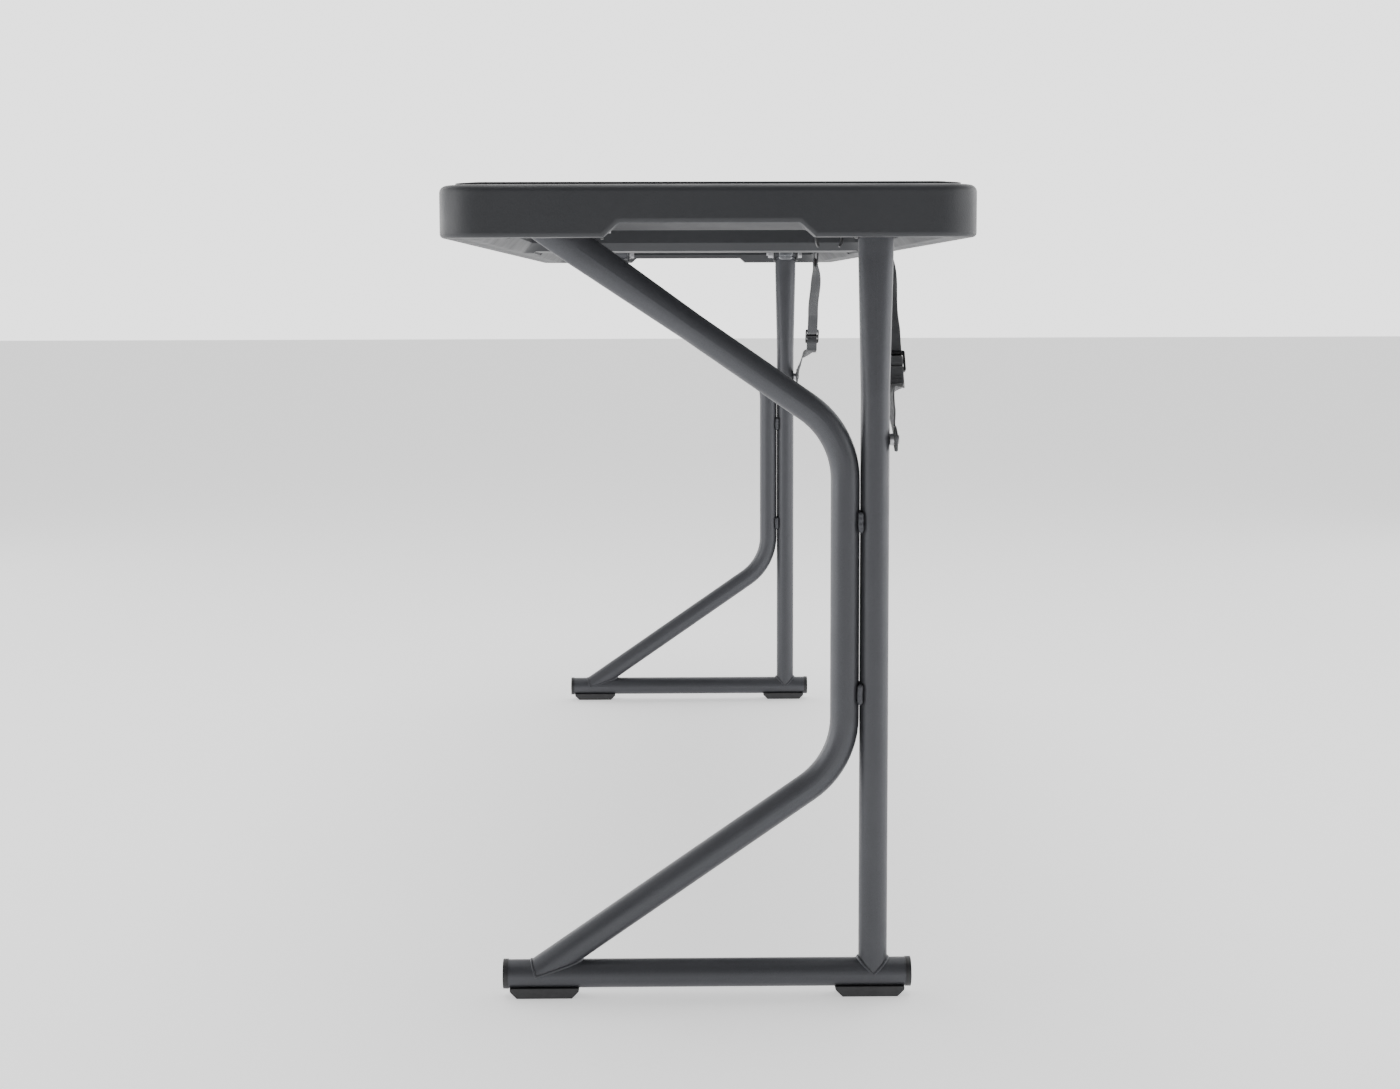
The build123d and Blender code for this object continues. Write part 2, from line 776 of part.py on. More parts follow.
def make_clip_screws():
    """One flat-headed screw in the roof of each leg clip."""
    roof_z = pivot_z + tube_radius + clip_bore_clearance
    with BuildPart() as screws:
        with Locations(*[(x, y, roof_z + hole_clearance) for x, y in clip_screw_spots()]):
            Cylinder(
                screw_diameter / 2, screw_length, align=(Align.CENTER, Align.CENTER, Align.MIN)
            )
    save(screws.part, "clip_screws")


# ---------------------------------------------------------------- straps


def strap_points(side):
    """Anchor bar, both ends of the slider, the inboard end of the tab and the rivet."""
    middle_y = post_y + tube_radius + rivet_standoff + webbing_thickness
    rivet = Vector(side * leg_x, middle_y, rivet_z)
    bar = Vector(side * (leg_x - anchor_offset), anchor_y, panel_z - anchor_drop)
    inboard, slider_y, slider_z = slider_place
    slider = Vector(side * (leg_x - inboard), slider_y, slider_z)
    half_slider = (slider - bar).normalized() * (slider_length / 2)
    tab = rivet + Vector(-side, 0, tan(radians(tab_slope))) * tab_inboard
    return bar, slider - half_slider, slider + half_slider, tab, rivet


def strip(start, end, thickness_y, breadth):
    """A flat strip from one point to another, so thick along Y and so broad the other way."""
    run = end - start
    with BuildPart() as flat:
        with BuildSketch(Plane(origin=start, x_dir=(0, 1, 0), z_dir=run)):
            Rectangle(thickness_y, breadth)
        extrude(amount=run.length)
    return flat.part


def make_anchor(name, side):
    """The plate and ring under the top that the strap's upper end is sewn around."""
    bar = strap_points(side)[0]
    ring_width = webbing_width + 2 * strap_gap + 2 * anchor_bar
    ring_height = plate_z - bar.Z + anchor_bar / 2
    with BuildPart() as anchor:
        with BuildSketch(Plane.XY.offset(plate_z)):
            with Locations((bar.X, bar.Y)):
                SlotOverall(anchor_length, anchor_width)
        extrude(amount=ear_thickness)
        with Locations(*[(x, y, plate_z) for x, y in anchor_screw_spots() if x * side > 0]):
            Cone(
                screw_head / 2 + running_clearance,
                screw_diameter / 2 + running_clearance,
                ear_thickness,
                align=(Align.CENTER, Align.CENTER, Align.MIN),
                mode=Mode.SUBTRACT,
            )
        with BuildSketch(Plane.XZ.offset(-bar.Y)):
            with Locations((bar.X, plate_z - ring_height / 2)):
                Rectangle(ring_width, ring_height)
                Rectangle(
                    ring_width - 2 * anchor_bar, ring_height - 2 * anchor_bar, mode=Mode.SUBTRACT
                )
        extrude(amount=anchor_bar / 2, both=True)
    save(anchor.part, f"{name}_strap_anchor")


def make_anchor_screws():
    """Countersunk screws that fix the strap anchors."""
    with BuildPart() as screws:
        with Locations(*[(x, y, plate_z) for x, y in anchor_screw_spots()]):
            Cone(
                screw_head / 2,
                screw_diameter / 2,
                ear_thickness,
                align=(Align.CENTER, Align.CENTER, Align.MIN),
            )
        with Locations(*[(x, y, panel_z) for x, y in anchor_screw_spots()]):
            Cylinder(
                screw_diameter / 2,
                screw_length - ear_thickness,
                align=(Align.CENTER, Align.CENTER, Align.MIN),
            )
    save(screws.part, "anchor_screws")


def make_straps(name, side):
    """The webbing above and below the slider, and its doubled end beside the post."""
    bar, slider_top, slider_bottom, tab, rivet = strap_points(side)
    down = (slider_top - bar).normalized()
    upper_start = bar + down * (anchor_bar + strap_seat)
    upper = strip(upper_start, slider_top - down * strap_seat, strap_span, webbing_thickness)
    save(upper, f"{name}_upper_strap")
    along = (tab - slider_bottom).normalized()
    lower_end = tab - along * (strap_seat + webbing_thickness)
    lower = strip(slider_bottom + along * strap_seat, lower_end, webbing_thickness, webbing_width)
    save(lower, f"{name}_lower_strap")
    past = rivet + (rivet - tab) * (tab_outboard / tab_inboard)
    with BuildPart() as doubled:
        add(strip(tab, past, 2 * webbing_thickness, webbing_width))
        through = Vector(0, webbing_thickness + overcut, 0)
        hole_radius = rivet_diameter / 2 + running_clearance
        add(rod(rivet - through, rivet + through, hole_radius), mode=Mode.SUBTRACT)
    save(doubled.part, f"{name}_strap_tab")


def make_strap_rivet(name, side):
    """The shouldered rivet that holds the strap's doubled end off the round post."""
    rivet = strap_points(side)[-1]
    tab_front = rivet.Y + webbing_thickness + hole_clearance
    tab_back = rivet.Y - webbing_thickness - weld_gap
    shoulder_y = post_y + tube_radius + weld_gap
    inner_end = Vector(rivet.X, post_y + bore_radius - tube_wall, rivet_z)
    outer_end = Vector(rivet.X, tab_front + rivet_head_height, rivet_z)
    head = rod(Vector(rivet.X, tab_front, rivet_z), outer_end, rivet_head / 2)
    shank = rod(inner_end, outer_end, rivet_diameter / 2)
    collar = rod((rivet.X, shoulder_y, rivet_z), (rivet.X, tab_back, rivet_z), rivet_collar / 2)
    with BuildPart() as pin:
        add(head)
        add(shank)
        add(collar)
    save(pin.part, f"{name}_strap_rivet")


def make_slider(name, side):
    """The slider that joins the two straps: a flat frame with two slots."""
    _, top, bottom, _, _ = strap_points(side)
    slot_width = slider_width - 2 * slider_side
    slot_length = (slider_length - 3 * slider_bar) / 2
    across = Vector(0, 1, 0)
    normal = (bottom - top).cross(across).normalized()
    with BuildPart() as frame:
        with BuildSketch(Plane(origin=(top + bottom) / 2, x_dir=across, z_dir=normal)):
            RectangleRounded(slider_width, slider_length, slider_bar / 2)
            with GridLocations(0, slot_length + slider_bar, 1, 2):
                RectangleRounded(slot_width, slot_length, slider_bar / 4, mode=Mode.SUBTRACT)
        extrude(amount=slider_thickness / 2, both=True)
        outline = frame.edges().filter_by(GeomType.LINE).filter_by(
            lambda edge: abs(edge.length - (slider_length - slider_bar)) < TOLERANCE
            or abs(edge.length - (slider_width - slider_bar)) < TOLERANCE
        )
        chamfer(outline, length=slider_bar / 4)
    save(frame.part, f"{name}_strap_slider")


# ---------------------------------------------------------------- the whole table

make_top()
make_bracket_screws()
make_nuts_and_washers()
make_latch_rivets()
make_clip_screws()
make_anchor_screws()
for hinge_name in hinges:
    make_pivot_bolts(hinge_name)
for side_name, side_sign in sides.items():
    make_post(side_name, side_sign)
    make_brace(side_name, side_sign)
    make_foot(side_name, side_sign)
    make_column_welds(side_name, side_sign)
    make_caps(side_name, side_sign)
    make_pads(side_name, side_sign)
    make_pad_screws(side_name, side_sign)
    for hinge_name in hinges:
        make_sleeve(side_name, side_sign, hinge_name)
        make_bracket(side_name, side_sign, hinge_name)
    make_latch_leaf(side_name, side_sign)
    make_leg_clip(side_name, side_sign)
    make_anchor(side_name, side_sign)
    make_straps(side_name, side_sign)
    make_strap_rivet(side_name, side_sign)
    make_slider(side_name, side_sign)
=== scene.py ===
"""Looks of the folding seminar table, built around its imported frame. Metres, row frame."""

import json
from math import cos, pi, radians, sin, sqrt, tau

import bmesh
import bpy
from mathutils import Matrix, Vector
from mathutils.noise import noise


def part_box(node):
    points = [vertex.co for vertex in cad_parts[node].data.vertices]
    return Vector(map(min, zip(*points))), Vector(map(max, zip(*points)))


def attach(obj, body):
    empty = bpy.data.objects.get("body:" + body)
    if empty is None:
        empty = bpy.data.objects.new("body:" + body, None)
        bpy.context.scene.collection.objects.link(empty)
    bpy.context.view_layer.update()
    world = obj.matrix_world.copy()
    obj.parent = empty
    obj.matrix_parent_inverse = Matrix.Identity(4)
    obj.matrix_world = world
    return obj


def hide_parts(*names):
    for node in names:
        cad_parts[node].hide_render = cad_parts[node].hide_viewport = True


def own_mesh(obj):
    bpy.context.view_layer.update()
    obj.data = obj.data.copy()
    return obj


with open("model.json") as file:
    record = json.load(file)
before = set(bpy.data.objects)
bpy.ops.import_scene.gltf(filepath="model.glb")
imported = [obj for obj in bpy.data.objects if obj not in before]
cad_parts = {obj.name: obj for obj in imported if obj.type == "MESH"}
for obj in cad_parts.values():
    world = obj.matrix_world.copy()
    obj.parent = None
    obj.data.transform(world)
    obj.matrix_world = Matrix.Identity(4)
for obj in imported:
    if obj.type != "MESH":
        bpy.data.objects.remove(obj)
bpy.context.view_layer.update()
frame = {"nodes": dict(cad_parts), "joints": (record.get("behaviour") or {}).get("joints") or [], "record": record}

MM = 0.001
SIDES = {"right": 1, "left": -1}
JOINTS = {joint["name"]: joint for joint in frame["joints"]}
PIVOT = {name: Vector(JOINTS[f"{name}_leg_fold"]["pos_m"]) for name in SIDES}

# ---------------------------------------------------------------- materials


def new_material(name, colour, roughness, metallic=0.0):
    """A Principled material with its node tree, shader and object coordinates."""
    material = bpy.data.materials.new(name)
    material.use_nodes = True
    material.diffuse_color = (*colour, 1)
    nodes, links = material.node_tree.nodes, material.node_tree.links
    shader = nodes["Principled BSDF"]
    shader.inputs["Base Color"].default_value = (*colour, 1)
    shader.inputs["Roughness"].default_value = roughness
    shader.inputs["Metallic"].default_value = metallic
    place = nodes.new("ShaderNodeTexCoord").outputs["Object"]
    return material, nodes, links, shader, place


def noise_value(nodes, links, place, scale, detail=2.0, roughness=0.5):
    """Noise from 0 to 1 at this many features per metre."""
    texture = nodes.new("ShaderNodeTexNoise")
    texture.inputs["Scale"].default_value = scale
    texture.inputs["Detail"].default_value = detail
    texture.inputs["Roughness"].default_value = roughness
    links.new(place, texture.inputs["Vector"])
    return texture.outputs["Fac"]


def remap(nodes, links, value, low, high, to_low, to_high):
    """The value moved from one range to another, clamped."""
    node = nodes.new("ShaderNodeMapRange")
    for socket, number in zip(("From Min", "From Max", "To Min", "To Max"), (low, high, to_low, to_high)):
        node.inputs[socket].default_value = number
    links.new(value, node.inputs["Value"])
    return node.outputs["Result"]


def mix_colours(nodes, links, value, first, second):
    """One colour where the value is 0, the other where it is 1."""
    node = nodes.new("ShaderNodeMix")
    node.data_type = "RGBA"
    node.inputs["A"].default_value = (*first, 1)
    node.inputs["B"].default_value = (*second, 1)
    links.new(value, node.inputs["Factor"])
    return node.outputs["Result"]


def add_bump(nodes, links, shader, height, strength, distance):
    """Chains a bump onto whatever normal the shader has already."""
    bump = nodes.new("ShaderNodeBump")
    bump.inputs["Strength"].default_value = strength
    bump.inputs["Distance"].default_value = distance
    links.new(height, bump.inputs["Height"])
    if shader.inputs["Normal"].links:
        links.new(shader.inputs["Normal"].links[0].from_socket, bump.inputs["Normal"])
    links.new(bump.outputs["Normal"], shader.inputs["Normal"])


def moulded_material():
    """Blow-moulded polyethylene: fine leather-like grain, faint mottling and scuffed gloss."""
    base = (0.030, 0.0315, 0.0355)
    material, nodes, links, shader, place = new_material("moulded_top", base, 0.5)
    shader.inputs["Specular IOR Level"].default_value = 0.42
    mottle = noise_value(nodes, links, place, 9, 3)
    tint = remap(nodes, links, mottle, 0.3, 0.7, 0, 1)
    colour = mix_colours(nodes, links, tint, (0.0275, 0.029, 0.033), (0.0325, 0.034, 0.038))
    links.new(colour, shader.inputs["Base Color"])
    cloud = noise_value(nodes, links, place, 22, 4)
    links.new(remap(nodes, links, cloud, 0.3, 0.7, 0.44, 0.56), shader.inputs["Roughness"])
    grain = nodes.new("ShaderNodeTexVoronoi")
    grain.inputs["Scale"].default_value = 700
    links.new(place, grain.inputs["Vector"])
    add_bump(nodes, links, shader, grain.outputs["Distance"], 0.16, 0.0004)
    ripple = noise_value(nodes, links, place, 14, 1)
    add_bump(nodes, links, shader, ripple, 0.08, 0.004)
    return material


def paint_material(name, base, roughness, metallic, speckle):
    """Powder coat: orange peel, metallic speckle and slightly uneven gloss."""
    material, nodes, links, shader, place = new_material(name, base, roughness, metallic)
    flake = noise_value(nodes, links, place, 2600, 1)
    brighter = tuple(c * (1 + speckle) for c in base)
    darker = tuple(c * (1 - speckle * 0.6) for c in base)
    links.new(
        mix_colours(nodes, links, remap(nodes, links, flake, 0.35, 0.65, 0, 1), darker, brighter),
        shader.inputs["Base Color"],
    )
    cloud = noise_value(nodes, links, place, 35, 3)
    links.new(
        remap(nodes, links, cloud, 0.3, 0.7, roughness - 0.04, roughness + 0.05),
        shader.inputs["Roughness"],
    )
    peel = noise_value(nodes, links, place, 900, 2)
    add_bump(nodes, links, shader, peel, 0.12, 0.0003)
    return material


def steel_material(name, base, roughness):
    """Plated steel with fine streaks and dull patches."""
    material, nodes, links, shader, place = new_material(name, base, roughness, 1.0)
    patch = noise_value(nodes, links, place, 260, 3)
    dulled = tuple(c * 0.7 for c in base)
    share = remap(nodes, links, patch, 0.35, 0.7, 0, 1)
    links.new(mix_colours(nodes, links, share, base, dulled), shader.inputs["Base Color"])
    links.new(
        remap(nodes, links, patch, 0.3, 0.7, roughness - 0.06, roughness + 0.1),
        shader.inputs["Roughness"],
    )
    scratch = noise_value(nodes, links, place, 3000, 2)
    add_bump(nodes, links, shader, scratch, 0.08, 0.0002)
    return material


def plastic_material(name, base, roughness, grain_scale, grain_strength):
    """Moulded plastic or rubber with a fine grain and uneven wear."""
    material, nodes, links, shader, place = new_material(name, base, roughness)
    wear = noise_value(nodes, links, place, 120, 4)
    worn = tuple(c * 1.5 for c in base)
    share = remap(nodes, links, wear, 0.4, 0.75, 0, 1)
    links.new(mix_colours(nodes, links, share, base, worn), shader.inputs["Base Color"])
    links.new(
        remap(nodes, links, wear, 0.3, 0.7, roughness - 0.05, roughness + 0.08),
        shader.inputs["Roughness"],
    )
    grain = noise_value(nodes, links, place, grain_scale, 2)
    add_bump(nodes, links, shader, grain, grain_strength, 0.0003)
    return material


def webbing_material():
    """Woven webbing: ribs across it and warp lines along it, from the ribbon's UVs in millimetres; its colour
    carries painted shade in the weave's hollows and a painted highlight on its crests.
    """
    material, nodes, links, shader, _ = new_material("webbing", (0.05, 0.052, 0.057), 0.72)
    shader.inputs["Sheen Weight"].default_value = 0.35
    shader.inputs["Sheen Roughness"].default_value = 0.4
    split = nodes.new("ShaderNodeSeparateXYZ")
    links.new(nodes["Texture Coordinate"].outputs["UV"], split.inputs["Vector"])

    def wave(socket, period):
        scaled = nodes.new("ShaderNodeMath")
        scaled.operation = "MULTIPLY"
        scaled.inputs[1].default_value = tau / period
        links.new(socket, scaled.inputs[0])
        sine = nodes.new("ShaderNodeMath")
        sine.operation = "SINE"
        links.new(scaled.outputs["Value"], sine.inputs[0])
        return sine.outputs["Value"]

    product = nodes.new("ShaderNodeMath")
    product.operation = "MULTIPLY"
    links.new(wave(split.outputs["X"], 1.5), product.inputs[0])
    links.new(wave(split.outputs["Y"], 1.9), product.inputs[1])
    add_bump(nodes, links, shader, product.outputs["Value"], 0.7, 0.0004)
    # Painted shade and painted highlight: the colour follows the weave's bump height, dark in the hollows and
    # light on the crests.
    shade = remap(nodes, links, product.outputs["Value"], -1, 1, 0, 1)
    links.new(
        mix_colours(nodes, links, shade, (0.030, 0.031, 0.034), (0.085, 0.088, 0.095)),
        shader.inputs["Base Color"],
    )
    return material


MATERIALS = {
    "moulded_top": moulded_material(),
    "tube_paint": paint_material("tube_paint", (0.066, 0.068, 0.076), 0.42, 0.35, 0.22),
    "bracket_steel": paint_material("bracket_steel", (0.03, 0.031, 0.034), 0.4, 0.3, 0.15),
    "spring_steel": steel_material("spring_steel", (0.34, 0.35, 0.37), 0.3),
    "zinc_steel": steel_material("zinc_steel", (0.48, 0.48, 0.5), 0.34),
    "black_plastic": plastic_material("black_plastic", (0.016, 0.016, 0.018), 0.42, 1800, 0.15),
    "buckle_plastic": plastic_material("buckle_plastic", (0.012, 0.012, 0.013), 0.2, 1200, 0.05),
    "pad_rubber": plastic_material("pad_rubber", (0.034, 0.034, 0.036), 0.6, 1400, 0.3),
    "webbing": webbing_material(),
}
SLOT_OF = {row["node"]: row["material_slot"] for row in frame["record"]["subparts"]}


def dress_frame():
    """Gives each CAD node its finished material."""
    for node, piece in frame["nodes"].items():
        piece.data.materials.clear()
        piece.data.materials.append(MATERIALS[SLOT_OF[node]])


# ---------------------------------------------------------------- mesh helpers


def add_piece(name, mesh, slot_name, body=None, smooth=True):
    """Links a mesh as a new piece with its material and, where given, its body."""
    mesh.materials.clear()
    mesh.materials.append(MATERIALS[slot_name])
    if smooth:
        mesh.shade_smooth()
    piece = bpy.data.objects.new(name, mesh)
    bpy.context.scene.collection.objects.link(piece)
    if body:
        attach(piece, body)
    return piece


def tube_mesh(name, path, radii, segments=12, closed=False):
    """A round bar along a path, its radius given at each point."""
    points = [Vector(p) for p in path]
    count = len(points)
    rings = []
    bm = bmesh.new()
    normal = None
    for index, point in enumerate(points):
        ahead = points[(index + 1) % count] if closed or index < count - 1 else point
        behind = points[index - 1] if closed or index > 0 else point
        tangent = (ahead - behind).normalized()
        if normal is None:
            normal = tangent.orthogonal().normalized()
        normal = (normal - tangent * normal.dot(tangent)).normalized()
        side = tangent.cross(normal)
        ring = []
        for step in range(segments):
            angle = tau * step / segments
            offset = normal * cos(angle) + side * sin(angle)
            ring.append(bm.verts.new(point + offset * radii[index]))
        rings.append(ring)
    pairs = list(zip(rings, rings[1:]))
    if closed:
        pairs.append((rings[-1], rings[0]))
    for first, second in pairs:
        for step in range(segments):
            after = (step + 1) % segments
            bm.faces.new((first[step], first[after], second[after], second[step]))
    if not closed:
        bm.faces.new(list(reversed(rings[0])))
        bm.faces.new(rings[-1])
    bmesh.ops.recalc_face_normals(bm, faces=bm.faces)
    mesh = bpy.data.meshes.new(name)
    bm.to_mesh(mesh)
    bm.free()
    return mesh


# ---------------------------------------------------------------- welds

TUBE_RADIUS = 13.25 * MM
SLEEVE_RADIUS = 9 * MM
OVAL_HALF = (9 * MM, 16 * MM)
BRACE_SLOPE = radians(34.7)
BRACE_TAN = sin(BRACE_SLOPE) / cos(BRACE_SLOPE)
COLUMN_GAP = 0.4 * MM
UPPER_BEND_Z = 520.7 * MM
LOWER_BEND_Z = 218.5 * MM
BEAD_THIN = 1.0 * MM
BEAD_THICK = 2.1 * MM


def saddle(centre, along, half_x, half_n, target_radius, count=132):
    """The line where a tube, drawn from a centre in a direction, meets a bar along Y."""
    across = Vector((0, -along.z, along.y))
    upward = 1 if along.z > 0 else -1
    points = []
    for step in range(count):
        angle = tau * step / count
        offset = Vector((half_x * cos(angle), 0, 0)) + across * (half_n * sin(angle))
        height = upward * sqrt(max(target_radius**2 - offset.x**2, 0))
        travel = (height - offset.z) / along.z
        points.append(centre + offset + along * travel)
    return points


def bead_radii(points, centre, thin, thick, seed):
    """Bead radius at each point: thicker towards both ends in Y, with the ripples of a hand weld."""
    reach = max(abs(point.y - centre.y) for point in points)
    radii = []
    for index, point in enumerate(points):
        share = abs(point.y - centre.y) / reach
        ripple = 1 + 0.16 * abs(sin(index * 0.62)) + 0.22 * noise(point * 160 + Vector((seed, 0, 0)))
        radii.append((thin + (thick - thin) * share**1.6) * ripple)
    return radii


def mesh_of(bm, name):
    """Turns a bmesh into a mesh with its normals outwards."""
    bmesh.ops.recalc_face_normals(bm, faces=bm.faces)
    mesh = bpy.data.meshes.new(name)
    bm.to_mesh(mesh)
    bm.free()
    return mesh


def joined(name, meshes):
    """One mesh made of several, with their UVs."""
    bm = bmesh.new()
    for mesh in meshes:
        bm.from_mesh(mesh)
        bpy.data.meshes.remove(mesh)
    return mesh_of(bm, name)


def make_welds(name):
    """The beads around both ends of the post and the brace, on the leg."""
    foot_low, foot_high = (Vector(corner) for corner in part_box(f"{name}_foot_tube"))
    post_low, post_high = (Vector(corner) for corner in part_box(f"{name}_post_tube"))
    leg_x = PIVOT[name].x
    foot_z = (foot_low.z + foot_high.z) / 2
    post_y = (post_low.y + post_high.y) / 2
    pivot_z = PIVOT[name].z
    column_y = post_y - 2 * TUBE_RADIUS - COLUMN_GAP
    foot_meet_y = column_y - (LOWER_BEND_Z - foot_z) / BRACE_TAN
    top_meet_y = column_y - (pivot_z - UPPER_BEND_Z) / BRACE_TAN
    rising = Vector((0, cos(BRACE_SLOPE), sin(BRACE_SLOPE)))
    falling = Vector((0, cos(BRACE_SLOPE), -sin(BRACE_SLOPE)))
    round_half = (TUBE_RADIUS, TUBE_RADIUS)
    runs = (
        (Vector((leg_x, post_y, foot_z)), Vector((0, 0, 1)), round_half, TUBE_RADIUS, 1),
        (Vector((leg_x, foot_meet_y, foot_z)), rising, round_half, TUBE_RADIUS, 2),
        (Vector((leg_x, post_y, pivot_z)), Vector((0, 0, -1)), OVAL_HALF, SLEEVE_RADIUS, 3),
        (Vector((leg_x, top_meet_y, pivot_z)), falling, OVAL_HALF, SLEEVE_RADIUS, 4),
    )
    beads = []
    for centre, along, (half_x, half_n), target, seed in runs:
        points = saddle(centre, along, half_x, half_n, target)
        radii = bead_radii(points, centre, BEAD_THIN, BEAD_THICK, seed)
        beads.append(tube_mesh("bead", points, radii, 10, closed=True))
    add_piece(f"{name}_weld_beads", joined(f"{name}_weld_beads", beads), "tube_paint", f"{name}_leg")


def make_column_welds(name):
    """Four short lumpy beads in the grooves between the post and the column."""
    low, high = (Vector(corner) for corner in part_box(f"{name}_column_welds"))
    radius = 2.9 * MM
    length = 20 * MM
    beads = []
    for x in (low.x + radius, high.x - radius):
        for start, seed in ((low.z, 5), (high.z - length, 9)):
            points, radii = [], []
            count = 22
            for step in range(count + 1):
                share = step / count
                place = Vector((x, (low.y + high.y) / 2, start + share * length))
                wobble = noise(place * 210 + Vector((seed, 0, 0)))
                sideways = 0.7 * MM * noise(place * 120)
                points.append(place + Vector((0, sideways, 0)))
                taper = min(1, 2.4 * sqrt(max(share * (1 - share), 0)) + 0.12)
                radii.append(radius * taper * (0.86 + 0.14 * abs(sin(share * 4 * pi)) + 0.2 * wobble))
            beads.append(tube_mesh("bead", points, radii, 12))
    piece = add_piece(f"{name}_column_beads", joined("beads", beads), "tube_paint", f"{name}_leg")
    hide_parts(f"{name}_column_welds")


# ---------------------------------------------------------------- strap

WEBBING_WIDTH = 15 * MM
WEBBING_THICK = 1.5 * MM
SLIDER_LENGTH = 24 * MM
SLIDER_WIDTH = 20.5 * MM
SLIDER_BAR = 3.6 * MM
SLIDER_SIDE = 2.3 * MM
SLIDER_THICK = 4.5 * MM
TAB_REACH = 13.6 * MM
TAB_SLOPE = radians(22.8)
BEND_INBOARD = 88 * MM
ANCHOR_BAR_RADIUS = 1.8 * MM


def smooth_run(points, steps):
    """A Catmull-Rom curve through the points, with this many steps between each two."""
    ends = [points[0] * 2 - points[1], *points, points[-1] * 2 - points[-2]]
    run = []
    for index in range(len(points) - 1):
        before, start, end, after = ends[index : index + 4]
        for step in range(steps):
            t = step / steps
            run.append(
                0.5
                * (
                    2 * start
                    + (end - before) * t
                    + (2 * before - 5 * start + 4 * end - after) * t * t
                    + (3 * start - before - 3 * end + after) * t**3
                )
            )
    run.append(points[-1])
    return run


def ribbon_mesh(name, path, breadths, width=WEBBING_WIDTH, thick=WEBBING_THICK, cup=None):
    """Webbing along a path: its breadth direction and its cupping are given at each point."""
    section = []
    columns = 8
    edge = thick / 2
    for column in range(columns + 1):
        across = -width / 2 + edge / 2 + (width - edge) * column / columns
        section.append((across, edge))
    section.append((width / 2, edge * 0.45))
    section.append((width / 2, -edge * 0.45))
    for column in range(columns + 1):
        across = width / 2 - edge / 2 - (width - edge) * column / columns
        section.append((across, -edge))
    section.append((-width / 2, -edge * 0.45))
    section.append((-width / 2, edge * 0.45))
    bm = bmesh.new()
    layer = bm.loops.layers.uv.new("UVMap")
    rings, lengths = [], [0.0]
    count = len(path)
    for index, point in enumerate(path):
        tangent = (path[min(index + 1, count - 1)] - path[max(index - 1, 0)]).normalized()
        breadth = breadths[index] - tangent * breadths[index].dot(tangent)
        breadth.normalize()
        normal = tangent.cross(breadth)
        curl = cup[index] if cup else 0.0
        ring = []
        for across, out in section:
            bow = curl * (1 - (2 * across / width) ** 2)
            ring.append(bm.verts.new(point + breadth * across + normal * (out + bow)))
        rings.append(ring)
        if index:
            lengths.append(lengths[-1] + (point - path[index - 1]).length)
    size = len(section)
    for index in range(count - 1):
        for corner in range(size):
            after = (corner + 1) % size
            corners = (
                (index, corner), (index, after), (index + 1, after), (index + 1, corner),
            )
            face = bm.faces.new([rings[row][column] for row, column in corners])
            for loop, (row, column) in zip(face.loops, corners):
                loop[layer].uv = (section[column][0] / MM, lengths[row] / MM)
    for ring in (rings[0], rings[-1]):
        face = bm.faces.new(ring)
        for loop in face.loops:
            loop[layer].uv = (0, 0)
    return mesh_of(bm, name)


def stitch_mesh(rows):
    """Zigzag threads lying on the webbing: each row is a start, an end, a side and a normal."""
    threads = []
    for start, end, side, normal in rows:
        count = max(4, int((end - start).length / (1.5 * MM)))
        points = []
        for step in range(count + 1):
            swing = side * (0.55 * MM * (1 if step % 2 else -1))
            points.append(start.lerp(end, step / count) + swing + normal * (0.1 * MM))
        threads.append(tube_mesh("thread", points, [0.32 * MM] * len(points), 6))
    return joined("stitches", threads)


def strap_frame(name):
    """The strap's fixed places and directions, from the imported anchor, slider and tab."""
    side = SIDES[name]
    anchor_low, anchor_high = (Vector(corner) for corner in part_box(f"{name}_strap_anchor"))
    anchor = (anchor_low + anchor_high) / 2
    bar = Vector((anchor.x, anchor.y, anchor_low.z + ANCHOR_BAR_RADIUS))
    slider_low, slider_high = (Vector(corner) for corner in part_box(f"{name}_strap_slider"))
    slider = (slider_low + slider_high) / 2
    tab_low, tab_high = (Vector(corner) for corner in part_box(f"{name}_strap_tab"))
    leg_x = PIVOT[name].x
    tab_y = (tab_low.y + tab_high.y) / 2
    rivet_low, rivet_high = (Vector(corner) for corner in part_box(f"{name}_strap_rivet"))
    rivet = Vector((leg_x, tab_y, (rivet_low.z + rivet_high.z) / 2))
    tab_run = Vector((side * cos(TAB_SLOPE), 0, -sin(TAB_SLOPE)))
    down = (slider - bar).normalized()
    return side, bar, slider, rivet, tab_run, down


def squash_strap(piece):
    """Gives the piece its own copy of its mesh."""
    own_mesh(piece)


